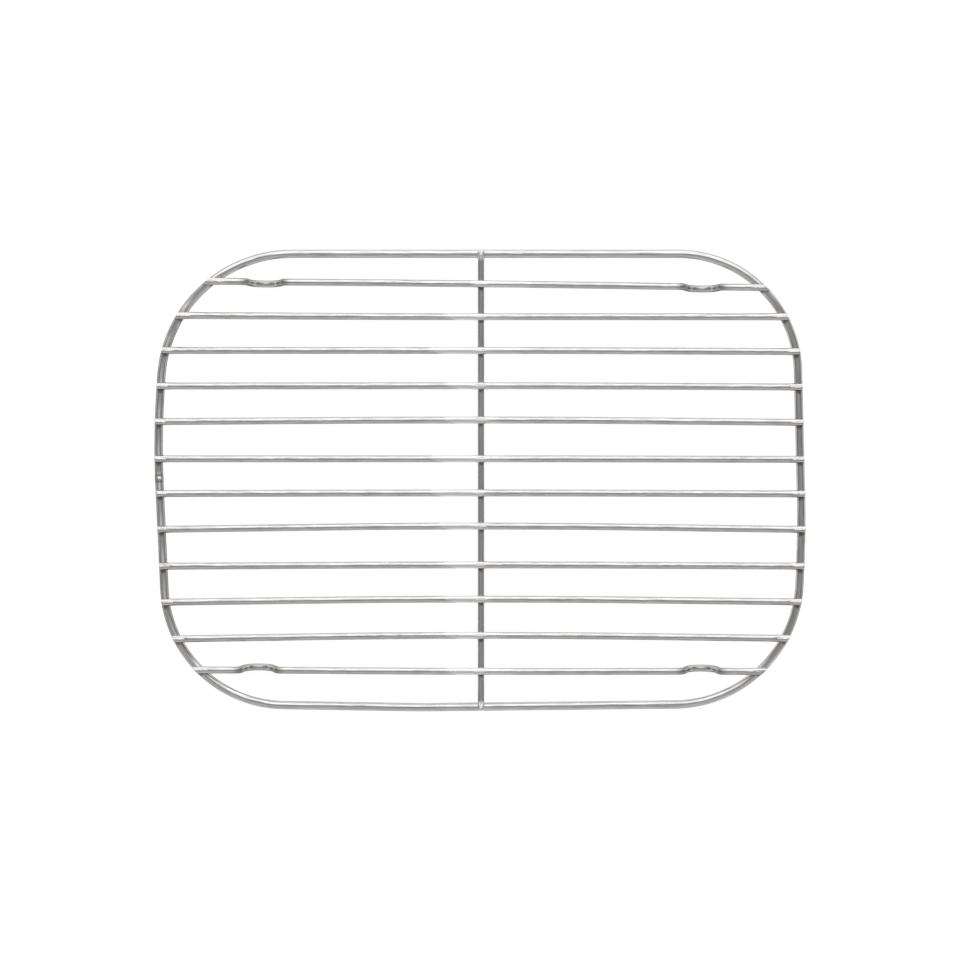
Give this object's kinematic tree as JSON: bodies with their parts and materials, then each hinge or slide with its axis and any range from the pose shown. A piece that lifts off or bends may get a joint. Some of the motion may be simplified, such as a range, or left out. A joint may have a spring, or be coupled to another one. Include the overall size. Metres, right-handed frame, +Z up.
{
  "type": "baking dish rack",
  "caption": "Low roasting rack of welded steel wire for the floor of a baking dish: a rounded frame loop, a middle brace and cross wires, standing on bent wire feet.",
  "frame": {"origin": "on the table under the middle of the frame loop, at the bottom of the feet", "axes": "+X along the rack's length, +Y across it to the back, +Z up"},
  "size_m": [0.32, 0.227, 0.0155],
  "materials": {
    "drawn_steel": "bright drawn stainless steel, slightly satin"
  },
  "bodies": {
    "root": {"frame_wire": "drawn_steel", "brace_wire": "drawn_steel", "foot_wire_back": "drawn_steel", "foot_wire_front": "drawn_steel", "cross_wire_01": "drawn_steel", "cross_wire_02": "drawn_steel", "cross_wire_03": "drawn_steel", "cross_wire_04": "drawn_steel", "cross_wire_05": "drawn_steel", "cross_wire_06": "drawn_steel", "cross_wire_07": "drawn_steel", "cross_wire_08": "drawn_steel", "cross_wire_09": "drawn_steel", "cross_wire_10": "drawn_steel"}
  },
  "joints": []
}
